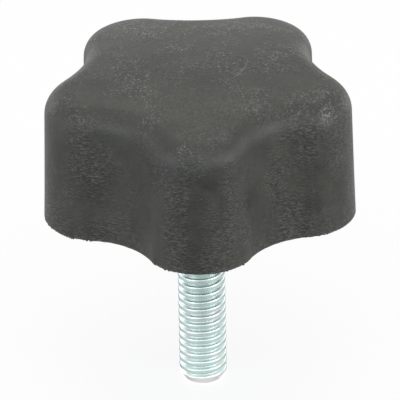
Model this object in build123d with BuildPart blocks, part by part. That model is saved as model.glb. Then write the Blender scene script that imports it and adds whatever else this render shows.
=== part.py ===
"""Five-arm hand knob with a zinc-plated threaded stud.

The moulded head has five round arms with drafted walls, and a domed top that rolls over into them.
It is cored from below to an even wall, which leaves a hub and five ribs.
A hex-head steel stud is moulded into the hub, so that the hex keeps it from turning.
The origin is on the stud's axis, on the seat face of the hub. +Z points up, through the domed top.
"""

import os
from math import atan2, cos, degrees, radians, sin, sqrt

from build123d import *

# Head, outside form
arm_count = 5
head_diameter = 52.4  # circle through the arm tips, at the rim
arm_radius = 9.1  # round of an arm, seen from above
hollow_radius = 12.75  # round of the finger hollow between two arms, seen from above
head_height = 24.8  # rim to the middle of the dome
dome_radius = 116.0
edge_radius = 4.1  # roll-over from the dome into the walls
wall_draft = 1.35  # degrees, narrower at the top
first_arm_angle = -90.0  # degrees, one arm points along -Y

# Head, coring from below
wall = 3.0
roof = 3.2
rib = 2.6
hub_wall = 2.7  # plastic around the corners of the hex head
hex_cover = 7.3  # plastic between the hex head and the middle of the dome
seat_height = 1.6  # how far the hub stands proud of the rim
seat_break = 0.25  # softened corner of the hub's seat
seat_relief = 0.8  # gap between the thread crests and the seat face
relief_angle = 90.0  # degrees, across the cone of the relief
core_corner_radius = 1.5

# Stud: a 5/16 in thread with 18 turns to the inch, rolled on a hex-head blank
stud_diameter = 7.8  # over the thread crests
stud_length = 31.75  # seat face to tip
thread_pitch = 1.411
thread_depth_share = 0.613  # of the pitch, crest to root
tip_height = 1.35  # length of the tip's chamfer, which ends at the thread's root
hex_across_flats = 12.7
hex_height = 5.4
hex_sides = 6
hex_chamfer_angle = 30.0  # degrees

# Worked-out heights
dome_top = seat_height + head_height
hex_top = dome_top - hex_cover
shank_length = hex_top - hex_height
dome_centre = dome_top - dome_radius

# Worked-out sizes of the stud
thread_depth = thread_pitch * thread_depth_share
shank_diameter = stud_diameter - thread_depth  # a rolled thread's blank has its pitch diameter
hex_flat_radius = hex_across_flats / 2
hex_corner_radius = hex_flat_radius / cos(radians(180 / hex_sides))
hex_chamfer_drop = (hex_corner_radius - hex_flat_radius) * sin(radians(hex_chamfer_angle))

# Worked-out sizes of the head: the arc of a hollow touches the arcs of the arms on both sides of it
hub_radius = hex_corner_radius + hub_wall
relief_radius = stud_diameter / 2 + seat_relief
arm_pitch = 360 / arm_count
arm_centre_radius = head_diameter / 2 - arm_radius
half_span = arm_centre_radius * sin(radians(arm_pitch / 2))
half_reach = arm_centre_radius * cos(radians(arm_pitch / 2))
hollow_centre_radius = half_reach + sqrt((arm_radius + hollow_radius) ** 2 - half_span**2)
arm_sweep = arm_pitch / 2 + degrees(atan2(half_span, hollow_centre_radius - half_reach))


def polar(radius, angle):
    """The point at a radius and an angle in degrees, in plan."""
    return (radius * cos(radians(angle)), radius * sin(radians(angle)))


# Plan of the head at the rim: arm arcs joined by tangent hollows
arm_angles = [first_arm_angle + arm_pitch * arm for arm in range(arm_count)]
with BuildSketch(Plane.XY.offset(seat_height)) as head_plan:
    with BuildLine():
        arms = [
            CenterArc(polar(arm_centre_radius, angle), arm_radius, angle - arm_sweep, 2 * arm_sweep)
            for angle in arm_angles
        ]
        for arm, next_arm in zip(arms, arms[1:] + arms[:1]):
            RadiusArc(arm @ 1, next_arm @ 0, hollow_radius)
    make_face()

# Stud: hex head with a chamfered top, plain shank inside the hub, threaded length with a chamfered tip
with BuildPart() as threaded_stud:
    with BuildSketch(Plane.XY.offset(shank_length)):
        RegularPolygon(radius=hex_corner_radius, side_count=hex_sides)
    extrude(amount=hex_height)
    with BuildSketch(Plane.XZ):
        with BuildLine():
            Polyline(
                (0, shank_length),
                (hex_corner_radius, shank_length),
                (hex_corner_radius, hex_top - hex_chamfer_drop),
                (hex_flat_radius, hex_top),
                (0, hex_top),
                close=True,
            )
        make_face()
    revolve(axis=Axis.Z, mode=Mode.INTERSECT)
    with BuildSketch(Plane.XY):
        Circle(shank_diameter / 2)
    extrude(amount=shank_length)
    with BuildSketch(Plane.XY):
        Circle(stud_diameter / 2)
    extrude(amount=-stud_length)
    tip = threaded_stud.faces().sort_by(Axis.Z)[0]
    chamfer(tip.edges(), length=thread_depth, length2=tip_height, reference=tip)
threaded_stud.part.label = "threaded_stud"

# Cores: one pocket under each arm, between the wall, the hub and two ribs, roofed by a concentric dome
with BuildPart() as cores:
    with BuildSketch(Plane.XY.offset(seat_height)) as core_plan:
        add(head_plan.sketch)
        offset(amount=-wall, mode=Mode.REPLACE)
        Circle(hub_radius, mode=Mode.SUBTRACT)
        with PolarLocations(head_diameter / 4, arm_count, first_arm_angle + arm_pitch / 2):
            Rectangle(head_diameter / 2, rib, mode=Mode.SUBTRACT)
        fillet(core_plan.edges().filter_by(GeomType.LINE).vertices(), core_corner_radius)
    extrude(amount=head_height)
    with Locations((0, 0, dome_centre)):
        Sphere(dome_radius - roof, mode=Mode.INTERSECT)

# Head: drafted walls under a dome, rolled-over edge, hub seat, then the cores and the stud taken out
with BuildPart() as knob_head:
    add(head_plan.sketch)
    extrude(amount=head_height, taper=wall_draft)
    with Locations((0, 0, dome_centre)):
        Sphere(dome_radius, mode=Mode.INTERSECT)
    fillet(knob_head.faces().sort_by(Axis.Z)[-1].edges(), edge_radius)
    with BuildSketch(Plane.XY):
        Circle(hub_radius)
    extrude(amount=seat_height)
    chamfer(knob_head.faces().sort_by(Axis.Z)[0].edges(), length=seat_break)
    add(cores.part, mode=Mode.SUBTRACT)
    with Locations(-Plane.XY):
        CounterSinkHole(shank_diameter / 2, relief_radius, shank_length, relief_angle)
    add(threaded_stud.part, mode=Mode.SUBTRACT)
knob_head.part.label = "knob_head"

os.makedirs("parts", exist_ok=True)
for piece in (knob_head, threaded_stud):
    export_step(piece.part, f"parts/{piece.part.label}.step")
    print(piece.part.label, "volume", round(piece.part.volume), "mm3")
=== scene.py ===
from functools import partial

import bmesh
import bpy
import numpy as np
from mathutils import Matrix, Vector


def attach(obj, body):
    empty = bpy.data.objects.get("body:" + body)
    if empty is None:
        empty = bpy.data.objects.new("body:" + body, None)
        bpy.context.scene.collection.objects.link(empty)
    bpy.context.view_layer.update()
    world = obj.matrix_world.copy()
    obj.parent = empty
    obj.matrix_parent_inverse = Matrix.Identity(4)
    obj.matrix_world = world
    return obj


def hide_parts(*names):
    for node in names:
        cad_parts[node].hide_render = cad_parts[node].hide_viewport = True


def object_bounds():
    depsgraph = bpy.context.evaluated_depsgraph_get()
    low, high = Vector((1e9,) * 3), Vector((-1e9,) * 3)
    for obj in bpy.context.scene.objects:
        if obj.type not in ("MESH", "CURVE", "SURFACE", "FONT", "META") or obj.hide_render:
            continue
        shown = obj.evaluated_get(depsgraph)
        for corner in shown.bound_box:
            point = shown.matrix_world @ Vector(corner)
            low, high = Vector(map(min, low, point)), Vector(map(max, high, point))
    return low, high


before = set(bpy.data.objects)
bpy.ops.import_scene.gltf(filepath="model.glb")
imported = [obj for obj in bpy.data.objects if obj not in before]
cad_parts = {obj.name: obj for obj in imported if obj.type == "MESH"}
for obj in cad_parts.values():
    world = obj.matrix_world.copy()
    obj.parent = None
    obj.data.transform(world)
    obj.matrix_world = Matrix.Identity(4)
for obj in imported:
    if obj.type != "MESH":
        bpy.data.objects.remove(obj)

cadLow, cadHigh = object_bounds()
mm = 0.001  # the shapes below are worked out in millimetres, Blender takes metres
mergeDistance = 0.0005  # mm, within which the edges of neighbouring patches join
print("frame loaded:", sorted(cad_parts))


# each four neighbouring points of a grid make a face, and the last column joins the first
def gridFaces(rowCount, columnCount):
    index = np.arange(rowCount * columnCount).reshape(rowCount, columnCount)
    turned = np.roll(index, -1, axis=1)
    return np.stack((index[:-1], turned[:-1], turned[1:], index[1:]), axis=-1).reshape(-1, 4)


# plan points as complex numbers, set at a height
def lift(plan, height):
    return np.stack((plan.real, plan.imag, np.broadcast_to(height, plan.shape)), axis=-1)


# an arc in plan: its centre plus the radius times the unit vector at each angle
def arc(centre, radius, start, end, steps):
    turn = np.exp(1j * np.radians(np.linspace(start, end, steps + 1)))
    return centre + radius * turn, turn


# unit vectors from one direction to another at even angles, one row for each share
def fan(first, last, shares):
    angle = np.arccos(np.clip((first * last).sum(-1), -1, 1))[..., None]
    share = shares.reshape((-1,) + (1,) * angle.ndim)
    return (np.sin((1 - share) * angle) * first + np.sin(share * angle) * last) / np.sin(angle)


# patches of points and faces joined into one closed mesh, with its faces turned outwards
def makePiece(name, patches, sharpAngle):
    starts = np.cumsum([0] + [len(points) for points, faces in patches])
    points = np.concatenate([points for points, faces in patches]) * mm
    faces = np.concatenate([faces + start for (_, faces), start in zip(patches, starts)])
    mesh = bpy.data.meshes.new(name)
    mesh.from_pydata(points.tolist(), [], faces.tolist())
    work = bmesh.new()
    work.from_mesh(mesh)
    bmesh.ops.remove_doubles(work, verts=work.verts, dist=mergeDistance * mm)
    bmesh.ops.recalc_face_normals(work, faces=work.faces)
    openEdges = sum(not edge.is_manifold for edge in work.edges)
    triangles = sum(len(face.verts) - 2 for face in work.faces)
    volume = work.calc_volume(signed=True) / mm**3
    work.to_mesh(mesh)
    work.free()
    mesh.shade_smooth()
    mesh.set_sharp_from_angle(angle=np.radians(sharpAngle))
    piece = bpy.data.objects.new(name, mesh)
    bpy.context.scene.collection.objects.link(piece)
    print(f"{name}: {triangles} triangles, {openEdges} open edges, {volume:.0f} mm3")
    return piece


# Moulded head, sizes in mm and degrees
head = {
    "armCount": 5,
    "firstArm": -90.0,
    "diameter": 52.4,
    "armRadius": 9.1,
    "hollowRadius": 12.75,
    "rim": 1.6,
    "domeTop": 26.4,
    "domeRadius": 116.0,
    "edgeRadius": 4.1,
    "draft": 1.35,
    "rimBreak": 0.08,
    "seatBreak": 0.25,
    "seatRound": 0.3,  # where the middle of the seat's break lies, as a share of it
    "seatRelief": 0.8,  # between the thread's crests and the seat
    "wall": 3.0,
    "roof": 3.2,
    "rib": 2.6,
    "hubRadius": 10.032,
    "coreCorner": 1.5,
    "coreMiddle": 15.5,
    "mouthBreak": 0.15,
    "roofRound": 1.0,
    "waviness": 0.02,
    "wavinessRise": 4.0,  # height above the rim from which it is full
    "flash": 0.04,
    "flashPlaces": [  # angle, spread and height of ragged flash
        (-147.0, 11.0, 0.2),
        (-104.0, 6.0, 0.2),
        (-81.0, 1.5, 0.12),
        (-72.0, 3.0, 0.16),
        (-37.0, 8.0, 0.1),
    ],
    "flashLimit": 1.2,  # of its stated height
    "flashBlur": (0.25, 0.5, 0.25),
    "seed": 11,
    "sharpAngle": 35,
    # steps round the plan
    "armSteps": 80,
    "hollowSteps": 14,
    "hubSteps": 10,
    "innerSteps": 8,
    "ribSteps": 8,
    "outerSteps": (4, 5),
    # rows up the section
    "rimRows": 6,
    "wallRows": 14,
    "rollRows": 14,
    "domeRows": 20,
    "pocketRows": 6,
    "roundRows": 6,
    "roofRows": 6,
}

# Stud, sizes in mm
stud = {
    "crestRadius": 3.9,
    "length": 31.75,
    "pitch": 1.411,
    "depth": 0.865,  # of a full thread, down to which the tip is chamfered
    "groove": 0.46,  # rolled depth
    "crestShare": 0.5,
    "flankAngle": 30.0,
    "flankSoftness": 4.0,
    "crown": 4.0,  # radius of the crest's own section
    "phase": -0.43,
    "tipHeight": 1.35,
    "tipRing": 0.6,  # a ring of points on the flat tip, as a share of its radius
    "runOut": (-0.75, 0.43),
    "shankTop": 13.7,
    "hexTop": 19.1,
    "hexFlat": 6.35,
    "chamferRows": 5,
    "columns": 120,
    "knots": [0, 0.07, 0.13, 0.18, 0.22, 0.255, 0.29, 0.325, 0.36, 0.395, 0.43, 0.465],  # of a pitch
    "spareTurns": 3,  # half below the tip, half above the run-out
    "crestWander": 0.008,
    "wanderScale": (5.0, 3.0),  # round and along the stud
    "seed": 5,
    "sharpAngle": 40,
}
shankRadius = stud["crestRadius"] - stud["depth"] / 2
hexCorner = stud["hexFlat"] / np.cos(np.radians(30))
hexDrop = (hexCorner - stud["hexFlat"]) / 2  # height of the hex's 30 degree chamfer


# a hexagon's radius at an angle, cut back by the chamfer cone under its top face
def hexRadius(angle, height):
    flatTurn = np.radians(np.degrees(angle) % 60 - 30)
    cone = stud["hexFlat"] + (stud["hexTop"] - height) / hexDrop * (hexCorner - stud["hexFlat"])
    return np.minimum(stud["hexFlat"] / np.cos(flatTurn), cone)


# rows of the hex from its underside to the middle of its top, for the stud and for its bed in the hub
def hexRows(angle):
    chamfer = stud["hexTop"] - hexDrop * np.linspace(1, 0, stud["chamferRows"])
    heights = [stud["shankTop"]] + list(chamfer)
    rows = [lift(hexRadius(angle, height) * np.exp(1j * angle), height) for height in heights]
    return rows + [lift(0 * angle + 0j, stud["hexTop"])]


# sine waves that make a moulded wall or a rolled crest slightly uneven, lengths in mm
wave = {"count": 9, "shortest": 7, "longest": 20, "phases": 6.3}


# smooth unevenness: sine waves in random directions, added up
def unevenness(points, seed):
    draw = np.random.default_rng(seed)
    direction = draw.normal(size=(wave["count"], 3))
    direction /= np.linalg.norm(direction, axis=1, keepdims=True)
    length = draw.uniform(wave["shortest"], wave["longest"], (wave["count"], 1))
    waves = 2 * np.pi / length * direction
    return np.sin(points @ waves.T + draw.uniform(0, wave["phases"], wave["count"])).mean(axis=-1)


halfPitch = 180 / head["armCount"]
armAngles = head["firstArm"] + 2 * halfPitch * np.arange(head["armCount"])
armTurns = np.exp(1j * np.radians(armAngles))
armCentre = head["diameter"] / 2 - head["armRadius"]
ribTurn = np.exp(1j * np.radians(halfPitch))
armInRib = armCentre * np.conj(ribTurn)  # the arm's centre, seen along the rib
reach = np.sqrt((head["armRadius"] + head["hollowRadius"]) ** 2 - armInRib.imag**2)
hollowCentre = armInRib.real + reach  # along the rib
touchAngle = np.degrees(np.angle(armInRib - hollowCentre)) % 360  # of hollow and arm, about the hollow
armSweep = touchAngle - 180 + halfPitch
domeCentre = head["domeTop"] - head["domeRadius"]


# outside of the head: arm and hollow arcs in plan, carried up a section of rim, wall, rolled edge and dome
def outsidePatch():
    armPlan, armOut = arc(armCentre, head["armRadius"], 0, armSweep, head["armSteps"])
    hollowPlan, hollowIn = arc(
        hollowCentre, head["hollowRadius"], touchAngle, 180, head["hollowSteps"]
    )
    half = np.append(armPlan[:-1], hollowPlan * ribTurn)
    halfOut = np.append(armOut[:-1], -hollowIn * ribTurn)
    sector = np.append(np.conj(half[::-1]), half[1:-1])
    sectorOut = np.append(np.conj(halfOut[::-1]), halfOut[1:-1])
    plan = (armTurns[:, None] * sector).ravel()
    out = (armTurns[:, None] * sectorOut).ravel()

    # a ball in the corner touches the wall and the dome: its height solves a quadratic
    ball, lean = head["edgeRadius"], np.radians(head["draft"])
    slope = np.tan(lean)
    inset = plan - out * ball * np.cos(lean)
    base = head["rim"] - ball * np.sin(lean) - domeCentre
    halfTerm = base - slope * (inset * np.conj(out)).real
    rest = np.abs(inset) ** 2 + base**2 - (head["domeRadius"] - ball) ** 2
    rise = (np.sqrt(halfTerm**2 - (1 + slope**2) * rest) - halfTerm) / (1 + slope**2)
    ballPlace = lift(inset - out * rise * slope, head["rim"] + rise - ball * np.sin(lean))
    wallOut = lift(out * np.cos(lean), np.sin(lean))
    domeOut = ballPlace - (0, 0, domeCentre)
    domeOut /= np.linalg.norm(domeOut, axis=-1, keepdims=True)

    # softened rim, with ragged flash where the mould's halves met
    soft = head["rimBreak"]
    draw = np.random.default_rng(head["seed"])
    ragged = np.abs(np.convolve(draw.normal(size=plan.size), head["flashBlur"], "same"))
    place = np.degrees(np.angle(plan))
    height = head["flash"] + sum(
        extra * np.exp(-(((place - angle + 180) % 360 - 180) / spread) ** 2)
        for angle, spread, extra in head["flashPlaces"]
    )
    down = np.radians(np.linspace(90, 0, head["rimRows"]))[:, None]
    stand = np.minimum(ragged * height, head["flashLimit"] * height) * np.sin(2 * down) ** 2
    rimOut = np.cos(down) * (1 + stand / soft)
    rimDown = np.sin(down) * (1 + stand / soft)
    rimPlan = plan - out * (soft * (1 + slope - rimOut))
    rimRows = lift(rimPlan, head["rim"] + soft - soft * rimDown)

    # straight wall up to the ball, rolled edge round the ball, dome in to the axis
    share = np.linspace(0, 1, head["wallRows"] + 1)[1:, None]
    wallHeight = soft + share * (rise - soft)
    wallRows = lift(plan - out * wallHeight * slope, head["rim"] + wallHeight)
    rollOut = fan(wallOut, domeOut, np.linspace(0, 1, head["rollRows"] + 1)[1:])
    rollRows = ballPlace + ball * rollOut
    share = np.linspace(1, 0, head["domeRows"] + 1)[1:, None]
    contact = (rollRows[-1, :, 0] + 1j * rollRows[-1, :, 1]) * share
    domeRows = lift(contact, domeCentre + np.sqrt(head["domeRadius"] ** 2 - np.abs(contact) ** 2))
    upperOut = domeRows - (0, 0, domeCentre)
    upperOut /= head["domeRadius"]

    # the skin sinks by a slight waviness, which starts above the rim
    rows = np.concatenate((wallRows, rollRows, domeRows))
    outward = np.concatenate((np.broadcast_to(wallOut, wallRows.shape), rollOut, upperOut))
    fade = np.clip((rows[..., 2:] - head["rim"] - soft) / head["wavinessRise"], 0, 1)
    sink = (unevenness(rows, head["seed"])[..., None] - 1) * head["waviness"]
    return np.concatenate((rimRows, rows + outward * sink * fade))


# one coring pocket and the land round it: two loops of matched points, round the cell and round the pocket
def corePatches(rimRow):
    hub, corner, gap = head["hubRadius"], head["coreCorner"], head["rib"] / 2
    offset = gap + corner
    innerCentre = np.sqrt((hub + corner) ** 2 - offset**2) - 1j * offset
    wallRadius = head["hollowRadius"] + head["wall"]
    outerCentre = hollowCentre - np.sqrt((wallRadius + corner) ** 2 - offset**2) - 1j * offset
    innerTouch = np.degrees(np.angle(innerCentre))  # from the rib
    outerTouch = np.degrees(np.angle(hollowCentre - outerCentre))
    middle = (90 + outerTouch) / 2

    # half of the pocket's loop seen along the rib: hub, inner corner, rib, outer corner, hollow, arm
    hubSteps, innerSteps, ribSteps = head["hubSteps"], head["innerSteps"], head["ribSteps"]
    ribTurnSteps, hollowTurnSteps = head["outerSteps"]
    hollowSteps = head["hollowSteps"] - hollowTurnSteps
    armInside = head["armRadius"] - head["wall"]
    hubPlan, hubIn = arc(0, hub, -halfPitch, innerTouch, hubSteps)
    innerPlan, innerIn = arc(innerCentre, corner, innerTouch + 180, 90, innerSteps)
    ribPlan = np.linspace(innerCentre.real, outerCentre.real, ribSteps + 1) - 1j * gap
    outerPlan, outerIn = arc(outerCentre, corner, 90, middle, ribTurnSteps)
    turnPlan, turnIn = arc(outerCentre, corner, middle, outerTouch, hollowTurnSteps)
    hollowPlan, hollowIn = arc(hollowCentre, wallRadius, 180 + outerTouch, touchAngle, hollowSteps)
    armPlan, armIn = arc(armInRib, armInside, armSweep - halfPitch, -halfPitch, head["armSteps"])
    plans = (innerPlan, ribPlan, outerPlan, turnPlan, hollowPlan, armPlan)
    inwards = (-innerIn, 0 * ribPlan - 1j, -outerIn, -turnIn, hollowIn, -armIn)
    half = np.concatenate([hubPlan] + [plan[1:] for plan in plans])
    inward = np.concatenate([hubIn] + [plan[1:] for plan in inwards])
    edge = np.ones(half.size)  # the mouth's edge is softened everywhere but at the hub
    edge[: hubSteps + 1] = 0
    edge[hubSteps : hubSteps + innerSteps + 1] = np.linspace(0, 1, innerSteps + 1)
    loop = np.append(half * ribTurn, np.conj(half * ribTurn)[-2:0:-1])
    loopIn = np.append(inward * ribTurn, np.conj(inward * ribTurn)[-2:0:-1])
    edge = np.append(edge, edge[-2:0:-1])

    # the cell's loop: hub, middle of the rib, rim and back; neighbouring cells share their ribs' middles
    hubHalf = np.concatenate((hubPlan, arc(0, hub, innerTouch, 0, innerSteps)[0][1:])) * ribTurn
    ribParts = ribSteps + ribTurnSteps
    ribShare = (np.arange(1, ribParts) / ribParts)[:, None]
    sectorSteps = 2 * (head["armSteps"] + head["hollowSteps"])
    roofRadius, ball = head["domeRadius"] - head["roof"], head["roofRound"]
    patches = []
    for arm, armTurn in enumerate(armTurns):
        upper = lift(hubHalf * armTurn, head["rim"])
        lower = lift(np.conj(hubHalf[::-1]) * armTurn, head["rim"])
        around = rimRow[(arm * sectorSteps + np.arange(sectorSteps, -1, -1)) % len(rimRow)]
        goingOut = upper[-1] + ribShare * (around[0] - upper[-1])
        comingIn = lower[0] + ribShare[::-1] * (around[-1] - lower[0])
        cell = np.concatenate((upper, goingOut, around, comingIn, lower[:-1]))

        # straight walls up to a ball in the corner, a round over the ball, the roof in to its middle
        pocket, pocketIn = loop * armTurn, loopIn * armTurn
        soft = head["mouthBreak"] * edge
        mouth = lift(pocket - pocketIn * soft, head["rim"])
        ballPlan = pocket + pocketIn * ball
        ballTop = domeCentre + np.sqrt((roofRadius - ball) ** 2 - np.abs(ballPlan) ** 2)
        share = np.linspace(0, 1, head["pocketRows"])[:, None]
        wallFoot = head["rim"] + soft
        wallPlan = np.broadcast_to(pocket, (head["pocketRows"], pocket.size))
        wallRows = lift(wallPlan, wallFoot + share * (ballTop - wallFoot))
        ballPlace = lift(ballPlan, ballTop)
        up = ballPlace - (0, 0, domeCentre)
        up /= np.linalg.norm(up, axis=-1, keepdims=True)
        share = np.linspace(0, 1, head["roundRows"] + 1)[1:]
        roundRows = ballPlace + ball * fan(lift(-pocketIn, 0), up, share)
        pole = head["coreMiddle"] * armTurn
        share = np.linspace(1, 0, head["roofRows"] + 1)[1:, None]
        roofPlan = pole + (roundRows[-1, :, 0] + 1j * roundRows[-1, :, 1] - pole) * share
        roofRows = lift(roofPlan, domeCentre + np.sqrt(roofRadius**2 - np.abs(roofPlan) ** 2))
        rows = np.concatenate((cell[None], mouth[None], wallRows, roundRows, roofRows))
        patches.append((rows.reshape(-1, 3), gridFaces(*rows.shape[:2])))

    # the hub: its side, softened seat, relief cone, bore and the bed of the hex
    sector = np.append(np.conj(hubHalf[:0:-1]), hubHalf[:-1])
    angle = np.angle((armTurns[:, None] * sector).ravel())
    cornerAngle = np.radians(np.arange(-180, 180, 60))
    nearest = np.abs(np.angle(np.exp(1j * (angle - cornerAngle[:, None])))).argmin(axis=1)
    hexAngle = angle.copy()
    hexAngle[nearest] = cornerAngle
    soft = head["seatBreak"]
    turnIn = head["seatRound"] * soft
    relief = stud["crestRadius"] + head["seatRelief"]
    profile = [
        (hub, head["rim"]),
        (hub, soft),
        (hub - turnIn, turnIn),
        (hub - soft, 0),
        (0.5 * (hub + relief), 0),
        (relief, 0),
        (shankRadius, relief - shankRadius),
        (shankRadius, stud["shankTop"]),
    ]
    rows = [lift(radius * np.exp(1j * angle), height) for radius, height in profile]
    rows = np.array(rows + hexRows(hexAngle))
    patches.append((rows.reshape(-1, 3), gridFaces(*rows.shape[:2])))
    return patches


outside = outsidePatch()
skinPatch = (outside.reshape(-1, 3), gridFaces(*outside.shape[:2]))
knobHead = makePiece("mouldedHead", [skinPatch] + corePatches(outside[0]), head["sharpAngle"])
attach(knobHead, "root")
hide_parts("knob_head")


# rolled stud: rows follow the right-hand helix, so height = pitch x (turns + angle / full turn);
# the radius drops from crest to root over each flank, and is cut back by the tip's cone
def studPatches():
    pitch, depth, groove, columns = stud["pitch"], stud["depth"], stud["groove"], stud["columns"]
    tip, top = -stud["length"], stud["runOut"][1]
    knots = np.array(stud["knots"])
    knots = np.concatenate((knots, [0.5], 1 - knots[:0:-1]))
    turns = int(np.ceil((top - tip) / pitch)) + stud["spareTurns"]
    along = (np.arange(turns)[:, None] + knots).ravel()
    angle = 2 * np.pi * np.arange(columns) / columns
    below = stud["spareTurns"] / 2 - stud["phase"]
    height = tip + pitch * (along[:, None] - below + angle / (2 * np.pi))

    # the drop below the crest is a faint parabola plus a soft-cornered step down each flank
    fromCrest = pitch * np.abs((along + 0.5) % 1 - 0.5)
    flank = groove * np.tan(np.radians(stud["flankAngle"]))
    step = (fromCrest - pitch * stud["crestShare"] / 2) / flank
    sharp = stud["flankSoftness"]
    fall = np.logaddexp(0, sharp * step) - np.logaddexp(0, sharp * (step - 1))
    drop = groove * fall / sharp + fromCrest**2 / (2 * stud["crown"])
    radius = stud["crestRadius"] - np.broadcast_to(drop[:, None], height.shape)
    across, upward = stud["wanderScale"]
    stretched = np.broadcast_arrays(
        across * np.cos(angle), across * np.sin(angle), upward * height
    )
    wander = unevenness(np.stack(stretched, axis=-1), stud["seed"])
    radius = radius - stud["crestWander"] * (1 + wander)

    # run-out to the plain shank above, cone to the tip below
    low, high = stud["runOut"]
    share = np.clip((height - low) / (high - low), 0, 1)
    radius = radius + share * share * (3 - 2 * share) * (shankRadius - radius)
    height = np.clip(height, tip, top)
    tipRadius = stud["crestRadius"] - depth
    radius = np.minimum(radius, tipRadius + (height - tip) * depth / stud["tipHeight"])
    thread = lift(radius * np.exp(1j * angle), height)

    # the seam joins each row to the row one turn further on
    perTurn, rowCount = len(knots), len(along)
    index = np.arange(rowCount * columns).reshape(rowCount, columns)
    corners = (index[:-1, :-1], index[:-1, 1:], index[1:, 1:], index[1:, :-1])
    inner = np.stack(corners, axis=-1)
    last, first = index[:-perTurn, -1], index[perTurn:, 0]
    seam = np.stack((last[:-1], first[:-1], first[1:], last[1:]), axis=-1)
    faces = np.concatenate((inner.reshape(-1, 4), seam))

    # flat tip, plain shank and hex head
    ring = np.exp(1j * angle)
    tipRing = lift(stud["tipRing"] * ring * tipRadius, tip)
    tipRows = np.array([lift(0 * ring, tip), tipRing, thread[0]])
    upper = [lift(shankRadius * ring, level) for level in (top, stud["shankTop"])]
    upper = np.array(upper + hexRows(angle))
    patches = [(rows.reshape(-1, 3), gridFaces(*rows.shape[:2])) for rows in (tipRows, upper)]
    return [(thread.reshape(-1, 3), faces)] + patches


threadedStud = makePiece("rolledStud", studPatches(), stud["sharpAngle"])
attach(threadedStud, "root")
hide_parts("threaded_stud")


# sRGB hex to linear colour
def linear(hexText):
    parts = np.array([int(hexText[i : i + 2], 16) for i in (1, 3, 5)]) / 255
    parts = np.where(parts <= 0.04045, parts / 12.92, ((parts + 0.055) / 1.055) ** 2.4)
    return (*parts.tolist(), 1.0)


# adds a node with its settings, socket values and links
def addNode(tree, kind, values=None, links=None, **settings):
    made = tree.nodes.new("ShaderNode" + kind)
    for name, value in settings.items():
        setattr(made, name, value)
    for socket, value in (values or {}).items():
        made.inputs[socket].default_value = value
    for socket, source in (links or {}).items():
        tree.links.new(source, made.inputs[socket])
    return made


# a material with an empty tree, and addNode set to work in that tree
def newMaterial(name):
    material = bpy.data.materials.new(name)
    material.use_nodes = True
    material.node_tree.nodes.clear()
    return material, partial(addNode, material.node_tree)


white = (1, 1, 1, 1)
mixShare, mixFrom, mixTo, mixOut = 0, 6, 7, 2  # sockets of a Mix node set to colour

# Polypropylene, moulded in a plain steel tool and tumbled: a dull grey-black skin, faintly mottled,
# with fine light specks, a flow ripple on the walls, and pale scuffs where other parts rubbed it;
# painted shade and highlight on the rolled edge and on the ripple
plastic = {
    "dark": "#1f201b",
    "light": "#3a3b34",
    "speck": "#7c7c74",
    "pit": "#0c0c0a",
    "scuff": "#7d7d7b",
    # dark tint for worn patches on the dome, and for the painted shade of the dark line under the rolled
    # edge
    "worn": "#14150f",
    "dust": "#5c5d55",
    # painted highlight: the pale bluish band of light on the rolled edge
    "haze": "#4b4f52",
    "ior": 1.49,
    "roughness": (0.42, 0.56),
    "domeFrom": (20.5, 24.5),  # heights between which rippled wall turns to speckled dome, in mm
    "speckled": (0.15, 1.0),  # share of specks on wall and dome
    "rippled": (1.0, 0.4),  # share of ripple on wall and dome
    "picks": [  # tint, pattern, where, the pattern's values from none to full, and full share
        ("speck", "cells", "speckled", (0.84, 0.98), 1.0),
        ("pit", "cells", "speckled", (0.26, 0.06), 1.0),
        # painted highlight on the ripple's ridges and painted shade in its dips, over its bump
        ("speck", "ripple", "rippled", (0.53, 0.62), 0.28),
        ("pit", "ripple", "rippled", (0.48, 0.38), 0.95),
    ],
    "calm": [  # rubbed smooth: place in mm, reach in mm, share
        ((0.0, -15.0, 25.3), 11.0, 0.85),
        ((-19.0, -2.0, 25.0), 7.0, 0.6),
    ],
    "paintedEdgeBands": [  # painted shade and highlight: tint, share, depths in mm under the dome's ball where it comes and goes
        ("worn", 0.72, (0.04, 0.18), (0.5, 1.4)),
        ("haze", 0.17, (1.0, 1.8), (3.0, 5.5)),
    ],
    "mottle": 4.5,  # sizes of the patterns in mm
    "mottleDetail": (6, 0.62),
    "mottleTone": (0.34, 0.66),
    "mottleShine": (0.3, 0.7),
    "patch": 6.0,
    "patchStretch": (1.0, 1.0, 0.55),
    "patchEdge": (0.4, 0.6),
    "patchLeast": 0.15,
    "ripple": 0.7,
    "rippleStretch": (1.0, 1.0, 2.4),
    "rippleBend": 0.6,
    "rippleHeight": 0.3,
    "grain": 0.35,  # coarser than the tool's own finish, so that it shows
    "grainEdge": (0.45, 0.6),
    "grainHeight": 0.04,
    "speckSpacing": 0.19,
    "dustSpacing": 2.4,
    "dustSize": 0.2,
    "dustShare": 0.2,
    "marks": [  # tint, place in mm, reach in mm, share of the tint
        ("scuff", (21.2, -12.0, 22.8), 2.2, 1.0),
        ("scuff", (4.3, -21.4, 24.3), 1.8, 0.3),
        ("scuff", (7.3, -3.4, 26.1), 2.2, 0.18),
        ("worn", (0.2, -5.5, 26.2), 6.0, 0.7),
        ("worn", (6.3, 0.1, 26.2), 6.0, 0.8),
        ("worn", (15.7, 1.7, 25.3), 6.0, 0.9),
        ("worn", (12.0, 9.0, 25.4), 6.0, 0.8),
        ("worn", (-7.1, -0.2, 26.2), 6.0, 0.8),
        ("dust", (-8.0, -12.0, 25.5), 8.0, 0.35),
        ("dust", (0.2, -14.6, 25.5), 8.0, 0.35),
        ("dust", (8.4, -12.4, 25.4), 8.0, 0.35),
    ],
    "markCore": 0.2,  # part of the reach over which a mark is full
    "scratch": [(8.05, 2.9), (7.24, -2.5), (5.1, -5.75)],  # plan points of its arc on the dome
    "scratchWidth": 0.16,
    "scratchReach": 5.2,
    "scratchShare": 0.6,
    "rimPale": 0.35,  # height of the nibbled edge
    "rimShare": 0.6,
}


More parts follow.
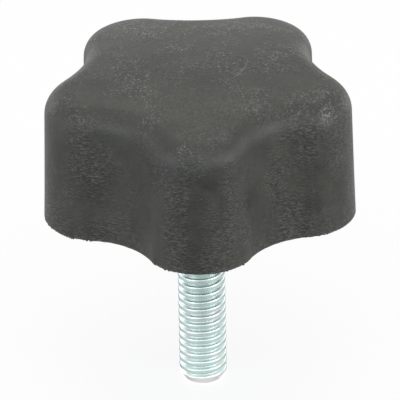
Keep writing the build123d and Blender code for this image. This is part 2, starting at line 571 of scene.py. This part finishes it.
def mouldedPolypropylene():
    material, node = newMaterial("mouldedPolypropylene")
    place = node("TexCoord").outputs["Object"]
    scale = {name: 1 / (plastic[name] * mm) for name in ("mottle", "grain", "ripple", "patch")}
    detail, fineness = plastic["mottleDetail"]
    mottle = node(
        "TexNoise",
        {"Scale": scale["mottle"], "Detail": detail, "Roughness": fineness},
        {"Vector": place},
    ).outputs["Fac"]
    grain = node("TexNoise", {"Scale": scale["grain"], "Detail": 2}, {"Vector": place}).outputs["Fac"]
    stretched = node("Mapping", {"Scale": plastic["rippleStretch"]}, {"Vector": place})
    ripple = node(
        "TexNoise",
        {"Scale": scale["ripple"], "Detail": 3, "Distortion": plastic["rippleBend"]},
        {"Vector": stretched.outputs[0]},
    ).outputs["Fac"]
    stretched = node("Mapping", {"Scale": plastic["patchStretch"]}, {"Vector": place})
    patchNoise = node(
        "TexNoise", {"Scale": scale["patch"], "Detail": 2}, {"Vector": stretched.outputs[0]}
    )
    low, high = plastic["patchEdge"]
    patch = node(
        "MapRange",
        {"From Min": low, "From Max": high, "To Min": plastic["patchLeast"]},
        {"Value": patchNoise.outputs["Fac"]},
    ).outputs[0]
    low, high = plastic["mottleTone"]
    tone = node("MapRange", {"From Min": low, "From Max": high}, {"Value": mottle})
    colour = node(
        "Mix",
        {mixFrom: linear(plastic["dark"]), mixTo: linear(plastic["light"])},
        {mixShare: tone.outputs[0]},
        data_type="RGBA",
    )
    layers = []  # tints over that colour, each with its share

    # painted shade and highlight on the rolled edge: a dark line just under the dome, a pale bluish band
    # of light below it; bands by depth under the dome's ball, which is the dome's radius less the distance
    # from its centre
    fromBall = node("VectorMath", {1: (0, 0, domeCentre * mm)}, {0: place}, operation="DISTANCE")
    depth = node(
        "Math",
        {0: head["domeRadius"] * mm},
        {1: fromBall.outputs["Value"]},
        operation="SUBTRACT",
    ).outputs[0]
    for tint, share, comes, goes in plastic["paintedEdgeBands"]:
        coming = node(
            "MapRange",
            {"From Min": comes[0] * mm, "From Max": comes[1] * mm, "To Max": share},
            {"Value": depth},
        )
        going = node(
            "MapRange",
            {"From Min": goes[0] * mm, "From Max": goes[1] * mm, "To Min": 1.0, "To Max": 0.0},
            {"Value": depth},
        )
        band = node("Math", None, {0: coming.outputs[0], 1: going.outputs[0]}, operation="MULTIPLY")
        layers.append((tint, band))

    # how near a place the surface is: the share at the middle, nothing past the reach
    def nearness(centre, reach, share):
        centre = tuple(mm * part for part in centre)
        away = node("VectorMath", {1: centre}, {0: place}, operation="DISTANCE")
        full = plastic["markCore"] * reach
        near = node(
            "MapRange",
            {"From Min": full * mm, "From Max": reach * mm, "To Min": share, "To Max": 0.0},
            {"Value": away.outputs["Value"]},
        )
        return near.outputs[0]

    # patches of specks on the dome and of ripple on the walls, fading where hands rubbed the skin smooth
    textured = patch
    for centre, reach, share in plastic["calm"]:
        left = node("Math", {0: 1.0}, {1: nearness(centre, reach, share)}, operation="SUBTRACT")
        textured = node("Math", None, {0: textured, 1: left.outputs[0]}, operation="MULTIPLY")
        textured = textured.outputs[0]
    height = node("SeparateXYZ", None, {0: place}).outputs[2]
    low, high = plastic["domeFrom"]
    shares = {}
    for name in ("speckled", "rippled"):
        onWall, onDome = plastic[name]
        byHeight = node(
            "MapRange",
            {"From Min": low * mm, "From Max": high * mm, "To Min": onWall, "To Max": onDome},
            {"Value": height},
        ).outputs[0]
        shares[name] = node("Math", None, {0: textured, 1: byHeight}, operation="MULTIPLY").outputs[0]

    # light specks and dark pits are cells of a fine grid; on the ripple, painted shade in its dips and
    # painted highlight on its ridges
    cells = node("TexVoronoi", {"Scale": 1 / (plastic["speckSpacing"] * mm)}, {"Vector": place})
    chosen = node("SeparateColor", None, {0: cells.outputs["Color"]}).outputs[0]
    patterns = {"cells": chosen, "ripple": ripple}
    for tint, pattern, where, (none, full), most in plastic["picks"]:
        pick = node(
            "MapRange",
            {"From Min": none, "From Max": full, "To Max": most},
            {"Value": patterns[pattern]},
        ).outputs[0]
        dot = node("Math", None, {0: shares[where], 1: pick}, operation="MULTIPLY")
        layers.append((tint, dot))

    # stray dust grains: a small dot in the middle of a few wide cells
    spacing = plastic["dustSpacing"]
    grains = node("TexVoronoi", {"Scale": 1 / (spacing * mm)}, {"Vector": place})
    few = node("SeparateColor", None, {0: grains.outputs["Color"]})
    few = node("Math", {1: plastic["dustShare"]}, {0: few.outputs[0]}, operation="LESS_THAN")
    dot = node(
        "Math",
        {1: 0.5 * plastic["dustSize"] / spacing},
        {0: grains.outputs["Distance"]},
        operation="LESS_THAN",
    )
    dot = node("Math", None, {0: dot.outputs[0], 1: few.outputs[0]}, operation="MULTIPLY")
    layers.append(("scuff", dot))

    # scuffs and worn places, broken up by the grain
    low, high = plastic["grainEdge"]
    broken = node("MapRange", {"From Min": low, "From Max": high}, {"Value": grain}).outputs[0]
    for tint, centre, reach, share in plastic["marks"]:
        near = nearness(centre, reach, share)
        layers.append((tint, node("Math", None, {0: near, 1: broken}, operation="MULTIPLY")))

    # a curved scratch: a thin band at one distance from the centre of the arc through its three points
    first, middle, last = (complex(*point) for point in plastic["scratch"])
    turn = (last - first) / (middle - first)
    centre = first + (middle - first) * (turn - abs(turn) ** 2) / (turn - turn.conjugate())
    top = head["domeTop"]
    centrePlace = (centre.real * mm, centre.imag * mm, top * mm)
    away = node("VectorMath", {1: centrePlace}, {0: place}, operation="DISTANCE")
    onArc = node(
        "Math",
        {1: abs(first - centre) * mm, 2: 0.5 * plastic["scratchWidth"] * mm},
        {0: away.outputs["Value"]},
        operation="COMPARE",
    )
    middlePlace = (middle.real, middle.imag, top)
    near = nearness(middlePlace, plastic["scratchReach"], plastic["scratchShare"])
    layers.append(("scuff", node("Math", None, {0: onArc.outputs[0], 1: near}, operation="MULTIPLY")))

    # pale nibbles along the rim
    low, high = head["rim"] * mm, (head["rim"] + plastic["rimPale"]) * mm
    edge = node(
        "MapRange",
        {"From Min": low, "From Max": high, "To Min": plastic["rimShare"], "To Max": 0.0},
        {"Value": height},
    )
    nibble = node("Math", None, {0: edge.outputs[0], 1: broken}, operation="MULTIPLY")
    nibble = node("Math", None, {0: nibble.outputs[0], 1: patch}, operation="MULTIPLY")
    layers.append(("scuff", nibble))

    for tint, share in layers:
        colour = node(
            "Mix",
            {mixTo: linear(plastic[tint])},
            {mixShare: share.outputs[0], mixFrom: colour.outputs[mixOut]},
            data_type="RGBA",
        )

    (low, high), (smooth, rough) = plastic["mottleShine"], plastic["roughness"]
    roughness = node(
        "MapRange",
        {"From Min": low, "From Max": high, "To Min": smooth, "To Max": rough},
        {"Value": mottle},
    )
    rippled = node("Math", None, {0: ripple, 1: shares["rippled"]}, operation="MULTIPLY")
    rippleBump = node(
        "Bump",
        {"Strength": 1.0, "Distance": plastic["rippleHeight"] * mm},
        {"Height": rippled.outputs[0]},
    )
    grainBump = node(
        "Bump",
        {"Strength": 1.0, "Distance": plastic["grainHeight"] * mm},
        {"Height": grain, "Normal": rippleBump.outputs[0]},
    )
    skin = node(
        "BsdfPrincipled",
        {"IOR": plastic["ior"]},
        {
            "Base Color": colour.outputs[mixOut],
            "Roughness": roughness.outputs[0],
            "Normal": grainBump.outputs[0],
        },
    )
    node("OutputMaterial", None, {"Surface": skin.outputs[0]})
    return material


# Steel with clear chromated zinc plate over a rolled thread: bright, slightly blue-green, faintly rainbowed
zinc = {
    "cool": "#cddeda",
    "warm": "#e0dce2",
    "edge": "#b8b0bc",
    # painted highlight: a whiter colour on the tip's chamfer in place of its bright reflection
    "tip": "#eff1ed",
    "roughness": (0.33, 0.4),
    "bloom": 2.2,  # sizes in mm
    "bloomTone": (0.5, 0.85),
    "grit": 0.25,  # coarser than the plate's own, so that it shows
    "gritShine": (0.3, 0.7),
    "gritHeight": 0.002,
    "gritStrength": 0.3,
    "fade": 0.4,  # above the tip's chamfer, over which the painted highlight fades out
}


def zincPlate():
    material, node = newMaterial("clearZincPlate")
    place = node("TexCoord").outputs["Object"]
    scale = {name: 1 / (zinc[name] * mm) for name in ("bloom", "grit")}
    bloom = node("TexNoise", {"Scale": scale["bloom"], "Detail": 4}, {"Vector": place}).outputs["Fac"]
    grit = node("TexNoise", {"Scale": scale["grit"], "Detail": 2}, {"Vector": place}).outputs["Fac"]
    low, high = zinc["bloomTone"]
    tone = node("MapRange", {"From Min": low, "From Max": high}, {"Value": bloom})
    colour = node(
        "Mix",
        {mixFrom: linear(zinc["cool"]), mixTo: linear(zinc["warm"])},
        {mixShare: tone.outputs[0]},
        data_type="RGBA",
    )
    height = node("SeparateXYZ", None, {0: place}).outputs[2]
    chamferTop = -stud["length"] * mm + stud["tipHeight"] * mm
    paintedTipHighlight = node(
        "MapRange",
        {
            "From Min": chamferTop,
            "From Max": chamferTop + zinc["fade"] * mm,
            "To Min": 1.0,
            "To Max": 0.0,
        },
        {"Value": height},
    )
    # painted highlight: the whiter tip colour, fading out above the chamfer
    colour = node(
        "Mix",
        {mixTo: linear(zinc["tip"])},
        {mixShare: paintedTipHighlight.outputs[0], mixFrom: colour.outputs[mixOut]},
        data_type="RGBA",
    )
    (low, high), (smooth, rough) = zinc["gritShine"], zinc["roughness"]
    roughness = node(
        "MapRange",
        {"From Min": low, "From Max": high, "To Min": smooth, "To Max": rough},
        {"Value": grit},
    )
    bump = node(
        "Bump",
        {"Strength": zinc["gritStrength"], "Distance": zinc["gritHeight"] * mm},
        {"Height": grit},
    )
    skin = node(
        "BsdfPrincipled",
        {"Metallic": 1.0, "Specular Tint": linear(zinc["edge"])},
        {
            "Base Color": colour.outputs[mixOut],
            "Roughness": roughness.outputs[0],
            "Normal": bump.outputs[0],
        },
    )
    node("OutputMaterial", None, {"Surface": skin.outputs[0]})
    return material


knobHead.data.materials.append(mouldedPolypropylene())
threadedStud.data.materials.append(zincPlate())
print("materials done")

# Studio, in metres: pale floor under the stud's tip, white surroundings, soft lamps on all sides
studio = {
    "floorRadius": 3.0,
    "floorSides": 96,
    "floorLift": 0.87,  # for the camera
    "paintedFloorReflection": (0.3, 0.68, 0.74, 0.85),  # for metal and gloss, a painted shade in their reflections: near in front, beside, behind, and far off
    "floorFade": (0.08, 0.26),  # from near to far
    "floorFront": 0.015,  # where the darker front begins
    "floorSector": (-0.97, -0.6, -0.1, 0.35),  # cosines between which front turns to side, side to back
    "floorColour": "#6a6a6a",
    "ambient": 0.2,
    "aim": (0, 0, 0.01),
    "lamps": [  # name, place, size, watts, colour
        ("ceilingLamp", (0.0, -0.1, 1.0), (1.7, 1.5), 8.6, "#fffffa"),
        ("backLeftLamp", (-0.8, 0.65, 0.25), (0.6, 0.5), 1.5, "#fafcff"),
        ("backRightLamp", (0.85, 0.6, 0.1), (0.6, 0.24), 1.7, "#fffdf8"),
        ("backLowLamp", (-0.05, 1.0, 0.06), (1.2, 0.2), 0.7, "#ffffff"),
        ("frontHighLamp", (0.0, -0.9, 0.95), (1.6, 0.4), 2.8, "#dde9ff"),
        ("frontLamp", (0.0, -1.2, 0.32), (2.2, 0.6), 3.4, "#f4f8ff"),
        ("leftLamp", (-0.8, -0.58, 0.08), (0.6, 0.3), 2.6, "#fafcff"),
        ("rightLamp", (0.86, -0.5, 0.08), (0.6, 0.3), 3.8, "#fffefa"),
    ],
}


# camera rays, and the glossy and transmission rays that also see the white surroundings
def seenDirectly(node):
    path = node("LightPath")
    rays = {0: path.outputs["Is Glossy Ray"], 1: path.outputs["Is Transmission Ray"]}
    gloss = node("Math", None, rays, operation="MAXIMUM")
    return path.outputs["Is Camera Ray"], gloss.outputs[0]


def addWorld():
    world = bpy.data.worlds.new("whiteStudio")
    world.use_nodes = True
    world.node_tree.nodes.clear()
    node = partial(addNode, world.node_tree)
    camera, gloss = seenDirectly(node)
    seen = node("Math", None, {0: camera, 1: gloss}, operation="MAXIMUM")
    strength = node(
        "MapRange", {"To Min": studio["ambient"], "To Max": 1.0}, {"Value": seen.outputs[0]}
    )
    sky = node("Background", {"Color": white}, {"Strength": strength.outputs[0]})
    node("OutputWorld", None, {"Surface": sky.outputs[0]})
    bpy.context.scene.world = world


# Matt pale paint: white to the camera with a faint shadow, and clear from below; to metal and gloss
# its glow is a painted shade, darker near the stud, most of all in front, and paler far off
def paleFloorPaint():
    material, node = newMaterial("paleFloorPaint")
    camera, gloss = seenDirectly(node)
    place = node("TexCoord").outputs["Object"]
    flat = node("VectorMath", {1: (1, 1, 0)}, {0: place}, operation="MULTIPLY").outputs[0]
    away = node("VectorMath", None, {0: flat}, operation="LENGTH").outputs["Value"]
    front = (0, studio["floorFront"], 0)
    moved = node("VectorMath", {1: front}, {0: flat}, operation="ADD")
    facing = node("VectorMath", None, {0: moved.outputs[0]}, operation="NORMALIZE")
    cosine = node("SeparateXYZ", None, {0: facing.outputs[0]}).outputs[1]
    edge, (inFront, beside, behind, farOff) = studio["floorSector"], studio["paintedFloorReflection"]
    side = node(
        "MapRange",
        {"From Min": edge[0], "From Max": edge[1], "To Min": inFront, "To Max": beside},
        {"Value": cosine},
    )
    around = node(
        "MapRange",
        {"From Min": edge[2], "From Max": edge[3], "To Max": behind},
        {"Value": cosine, "To Min": side.outputs[0]},
    )
    near, far = studio["floorFade"]
    paler = node(
        "MapRange",
        {"From Min": near, "From Max": far, "To Max": farOff},
        {"Value": away, "To Min": around.outputs[0]},
    )
    # the glow seen by metal and gloss: painted shade near the stud and in front
    shown = node("Math", None, {0: gloss, 1: paler.outputs[0]}, operation="MULTIPLY")
    lifted = node(
        "Math",
        {1: studio["floorLift"]},
        {0: camera, 2: shown.outputs[0]},
        operation="MULTIPLY_ADD",
    )
    matt = node("BsdfDiffuse", {"Color": linear(studio["floorColour"])})
    glow = node("Emission", {"Color": white}, {"Strength": lifted.outputs[0]})
    both = node("AddShader", None, {0: matt.outputs[0], 1: glow.outputs[0]})
    clear = node("BsdfTransparent")
    below = node("NewGeometry").outputs["Backfacing"]
    paint = node("MixShader", None, {0: below, 1: both.outputs[0], 2: clear.outputs[0]})
    node("OutputMaterial", None, {"Surface": paint.outputs[0]})
    return material


def addStudio():
    addWorld()
    sides = studio["floorSides"]
    turn = np.exp(2j * np.pi * np.arange(sides) / sides) * studio["floorRadius"]
    mesh = bpy.data.meshes.new("paleFloor")
    mesh.from_pydata(lift(turn, cadLow.z).tolist(), [], [list(range(sides))])
    mesh.materials.append(paleFloorPaint())
    floor = bpy.data.objects.new("paleFloor", mesh)
    bpy.context.scene.collection.objects.link(floor)

    for name, place, size, power, tint in studio["lamps"]:
        lamp = bpy.data.lights.new(name, "AREA")
        lamp.shape, lamp.size, lamp.size_y, lamp.energy = "RECTANGLE", size[0], size[1], power
        lamp.color = linear(tint)[:3]
        holder = bpy.data.objects.new(name, lamp)
        turned = (Vector(studio["aim"]) - Vector(place)).to_track_quat("-Z", "Y")
        holder.matrix_world = Matrix.Translation(place) @ turned.to_matrix().to_4x4()
        bpy.context.scene.collection.objects.link(holder)


addStudio()
print("studio done")

# Camera: where the photograph was taken from, in degrees and mm, and pixels of its 400 px frame
view = {
    "target": (0.0, 0.0, 14.0),
    "targetPixel": (198.68, 129.75),
    "frame": 400.0,
    "pixelsPerMm": 6.146,
    "azimuth": -89.63,
    "elevation": 28.36,
    "roll": 1.105,
    "distance": 1572.0,
    "sensor": 36.0,
    "clipEnd": 50,  # in metres
}


# the camera looks from its distance at the point that lies in the middle of the photograph
def addCamera():
    azimuth, elevation, roll = np.radians((view["azimuth"], view["elevation"], view["roll"]))
    level = np.cos(elevation)
    back = Vector((level * np.cos(azimuth), level * np.sin(azimuth), np.sin(elevation)))
    right = Vector((0, 0, 1)).cross(back).normalized()
    up = back.cross(right)
    across = right * np.cos(roll) - up * np.sin(roll)
    upright = right * np.sin(roll) + up * np.cos(roll)
    target = Vector(view["target"])
    offX = (view["frame"] / 2 - view["targetPixel"][0]) / view["pixelsPerMm"]
    offY = (view["targetPixel"][1] - view["frame"] / 2) / view["pixelsPerMm"]
    place = target + back * view["distance"]
    sight = (place - (target + across * offX + upright * offY)).normalized()
    across = upright.cross(sight).normalized()
    upright = sight.cross(across)
    turned = Matrix((across, upright, sight)).transposed().to_4x4()
    lens = bpy.data.cameras.new("photoCamera")
    lens.sensor_width = view["sensor"]
    lens.lens = view["pixelsPerMm"] * view["distance"] * view["sensor"] / view["frame"]
    lens.clip_end = view["clipEnd"]
    camera = bpy.data.objects.new("photoCamera", lens)
    camera.matrix_world = Matrix.Translation(place * mm) @ turned
    bpy.context.scene.collection.objects.link(camera)
    bpy.context.scene.camera = camera


addCamera()
bpy.context.scene.view_settings.view_transform = "Standard"
print("camera done")
